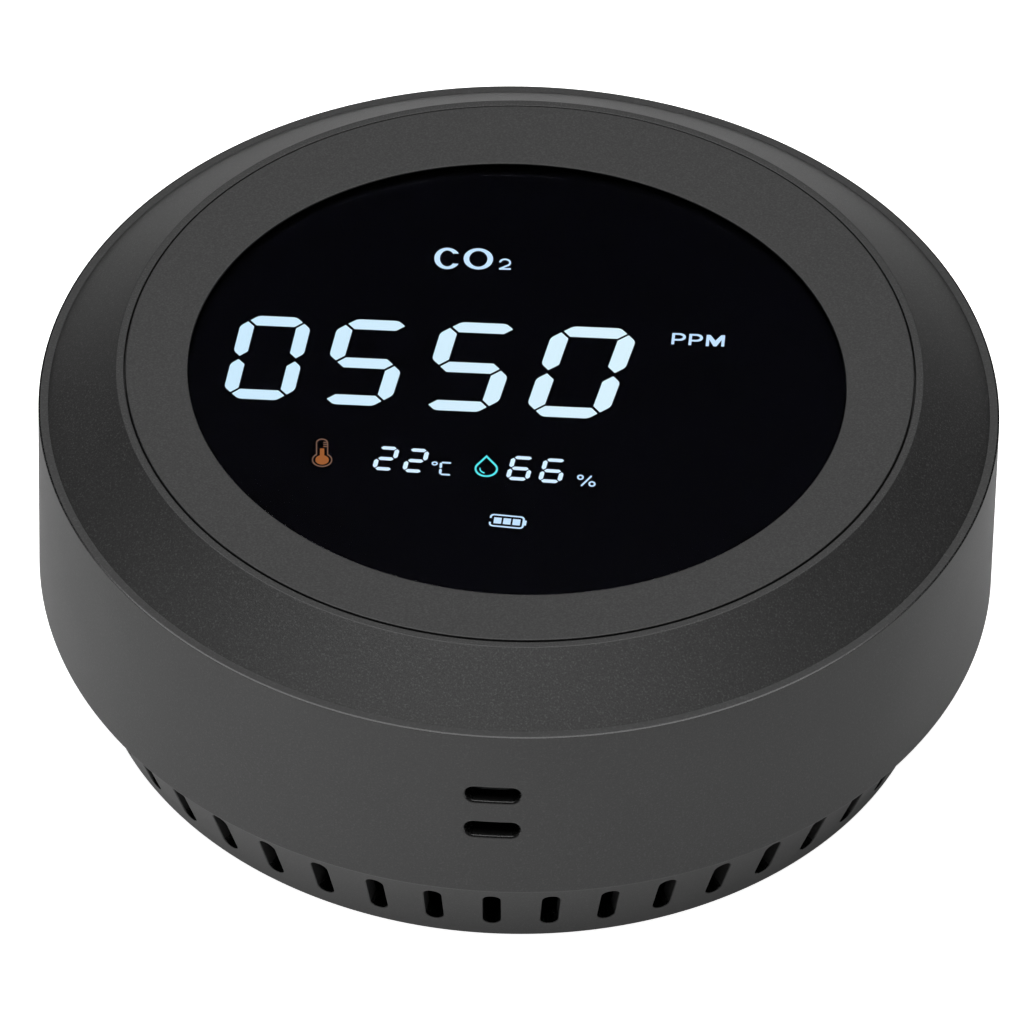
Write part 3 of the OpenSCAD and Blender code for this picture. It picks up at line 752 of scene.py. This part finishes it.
def make_lens():
    mesh = Mesh()
    slack = -0.05
    start = math.degrees(WINDOW_TURN)
    loops = [circle(FLANGE_R * share, LENS_FOOT, start=start) for share in (0.25, 0.6, 1.0)]
    loops.append(circle(FLANGE_R, FLANGE_TOP, start=start))
    loops.append(oval(slack, FLANGE_TOP))
    for grow, z in rounded(((slack, FLANGE_TOP, 0), (slack, LENS_TOP, 0.06),
                            (slack - 1, LENS_TOP, 0)))[1:]:
        loops.append(oval(grow, z))
    loops += [oval(slack - WINDOW_A * share, LENS_TOP) for share in (0.4, 0.75)]
    rings = mesh.loft(loops)
    mesh.cap(rings[0], (0, 0, LENS_FOOT))
    mesh.cap(rings[-1], (WINDOW_AT.x, WINDOW_AT.y, LENS_TOP))
    mesh.piece("window_lens", "case", LENS, "window_lens", "display_window")


def make_button():
    mesh = Mesh()
    collar, shoulder = BUTTON_COLLAR
    hollow, middle = 0.12, 0.14
    profile = rounded(((BUTTON_PIN_R, BUTTON_PIN_FOOT, 0), (BUTTON_PIN_R, collar, 0),
                       (BUTTON_COLLAR_R, collar, 0), (BUTTON_COLLAR_R, shoulder, 0),
                       (BUTTON_R, shoulder, 0), (BUTTON_R, BUTTON_FACE, 0.35),
                       (BUTTON_R - 0.9, BUTTON_FACE, 0), (0.6, BUTTON_FACE - hollow, 0)))
    angle = math.radians(BUTTON_ANGLE)
    out = Vector((math.cos(angle), math.sin(angle), 0))
    side = Vector((-math.sin(angle), math.cos(angle), 0))
    up = Vector((0, 0, 1))

    def ring(r, reach):
        turns = [2 * math.pi * i / BUTTON_SIDES for i in range(BUTTON_SIDES)]
        return [out * reach + side * r * math.cos(t) + up * (BUTTON_Z + r * math.sin(t))
                for t in turns]

    rings = mesh.loft([ring(r, reach) for r, reach in profile])
    mesh.cap(rings[0], out * BUTTON_PIN_FOOT + up * BUTTON_Z)
    mesh.cap(rings[-1], out * (BUTTON_FACE - middle) + up * BUTTON_Z)
    mesh.piece("button_cap", "button", BUTTON, "button_grey", "power_button")


# ---------------------------------------------------------------- studio

# Camera, in metres and degrees, with its lens and sensor in millimetres.
CAMERA_AIM = Vector((-0.0005, 0.0, 0.02025))
CAMERA_AZIMUTH = 2.022
CAMERA_ELEVATION = 43.152
CAMERA_DISTANCE = 1.5867
CAMERA_ROLL = 1.317
CAMERA_LENS = 507.1
CAMERA_SENSOR = 36.0
CAMERA_CLIP = (0.05, 50.0)

# The softbox's steps are (outer edge, inner edge, strength), in degrees from its middle.
SOFTBOX_AZIMUTH = 113.6
SOFTBOX_ELEVATION = 81.6
SOFTBOX_STEPS = ((41.4, 24.4, 1.17), (33.9, 30.7, 2.07))
DARK_ROOM = 0.006

# The camera sees the floor glow by FLOOR_SEEN. The object is lit by FLOOR_GLOW, which fades
# from its first strength to its second over the distances GLOW_SPREAD from GLOW_SPOT.
FLOOR_HALF = 6.0
FLOOR_GAP = 0.00005
FLOOR_PATCHES = 3.0
FLOOR_TONES = ((0.8, 0.8, 0.8), (0.82, 0.82, 0.82))
FLOOR_SEEN = 1.0
FLOOR_GLOW = (0.56, 0.04)
GLOW_SPOT = Vector((-0.035, -0.10, 0.0))
GLOW_SPREAD = (0.02, 0.145)


def make_camera():
    data = bpy.data.cameras.new("camera")
    data.sensor_width = CAMERA_SENSOR
    data.lens = CAMERA_LENS
    data.clip_start, data.clip_end = CAMERA_CLIP
    camera = bpy.data.objects.new("camera", data)
    bpy.context.scene.collection.objects.link(camera)
    a, e = math.radians(CAMERA_AZIMUTH), math.radians(CAMERA_ELEVATION)
    back = Vector((math.sin(a) * math.cos(e), -math.cos(a) * math.cos(e), math.sin(e)))
    camera.location = CAMERA_AIM + back * CAMERA_DISTANCE
    look = (-back).to_track_quat("-Z", "Y").to_matrix()
    roll = Matrix.Rotation(math.radians(CAMERA_ROLL), 3, "Z")
    camera.rotation_euler = (look @ roll).to_euler()
    bpy.context.scene.camera = camera


def make_floor():
    """Plain white table, seen only from above, so that the underside can be looked at."""
    mesh = bpy.data.meshes.new("floor")
    corners = [(x * FLOOR_HALF, y * FLOOR_HALF, -FLOOR_GAP)
               for x, y in ((-1, -1), (1, -1), (1, 1), (-1, 1))]
    mesh.from_pydata(corners, [], [(0, 1, 2, 3)])
    material, tree, shader = new_material("floor_white")
    tones = ramp(tree, noise(tree, FLOOR_PATCHES), zip(NOISE_SPAN, FLOOR_TONES))
    tree.links.new(tones, shader.inputs["Base Color"])
    shader.inputs["Roughness"].default_value = 0.9
    shader.inputs["Emission Color"].default_value = WHITE
    at = node(tree, "ShaderNodeTexCoord")
    away = node(tree, "ShaderNodeVectorMath", operation="DISTANCE")
    away.inputs[1].default_value = GLOW_SPOT
    tree.links.new(at.outputs["Object"], away.inputs[0])
    spot = map_range(tree, away.outputs["Value"], GLOW_SPREAD, FLOOR_GLOW,
                     interpolation_type="SMOOTHSTEP")
    path = node(tree, "ShaderNodeLightPath")
    glow = map_range(tree, path.outputs["Is Camera Ray"], (0.0, 1.0), (0.0, FLOOR_SEEN))
    tree.links.new(spot.outputs["Result"], glow.inputs["To Min"])
    tree.links.new(glow.outputs["Result"], shader.inputs["Emission Strength"])
    below = node(tree, "ShaderNodeNewGeometry")
    clear = node(tree, "ShaderNodeBsdfTransparent")
    mix = node(tree, "ShaderNodeMixShader")
    tree.links.new(below.outputs["Backfacing"], mix.inputs["Fac"])
    tree.links.new(shader.outputs["BSDF"], mix.inputs[1])
    tree.links.new(clear.outputs["BSDF"], mix.inputs[2])
    tree.links.new(mix.outputs["Shader"], tree.nodes["Material Output"].inputs["Surface"])
    mesh.materials.append(material)
    floor = bpy.data.objects.new("floor", mesh)
    bpy.context.scene.collection.objects.link(floor)


def make_sky():
    """One round softbox overhead, bright in the middle and soft at its edge, in a dark room.

    The camera sees plain white instead of it.
    """
    world = bpy.data.worlds.new("studio")
    bpy.context.scene.world = world
    world.use_nodes = True
    tree = world.node_tree
    background = tree.nodes["Background"]
    at = node(tree, "ShaderNodeTexCoord")
    near = node(tree, "ShaderNodeVectorMath", operation="DOT_PRODUCT")
    a, e = math.radians(SOFTBOX_AZIMUTH), math.radians(SOFTBOX_ELEVATION)
    near.inputs[1].default_value = (math.cos(e) * math.cos(a), math.cos(e) * math.sin(a),
                                    math.sin(e))
    tree.links.new(at.outputs["Generated"], near.inputs[0])
    total = None
    for outer, inner, strength in SOFTBOX_STEPS:
        edge = (math.cos(math.radians(outer)), math.cos(math.radians(inner)))
        step = map_range(tree, near.outputs["Value"], edge, (0.0, strength),
                         interpolation_type="SMOOTHSTEP")
        add = node(tree, "ShaderNodeMath", operation="ADD")
        add.inputs[1].default_value = DARK_ROOM
        tree.links.new(step.outputs["Result"], add.inputs[0])
        if total:
            tree.links.new(total, add.inputs[1])
        total = add.outputs["Value"]
    tree.links.new(total, background.inputs["Strength"])
    background.inputs["Color"].default_value = WHITE
    backdrop = node(tree, "ShaderNodeBackground", Strength=1.0, Color=WHITE)
    path = node(tree, "ShaderNodeLightPath")
    mix = node(tree, "ShaderNodeMixShader")
    tree.links.new(path.outputs["Is Camera Ray"], mix.inputs["Fac"])
    tree.links.new(background.outputs["Background"], mix.inputs[1])
    tree.links.new(backdrop.outputs["Background"], mix.inputs[2])
    tree.links.new(mix.outputs["Shader"], tree.nodes["World Output"].inputs["Surface"])


bpy.context.scene.view_settings.view_transform = "Standard"
make_camera()
make_floor()
make_sky()
finish_cad_nodes()
make_housing()
make_ring()
make_plate()
make_lens()
make_button()
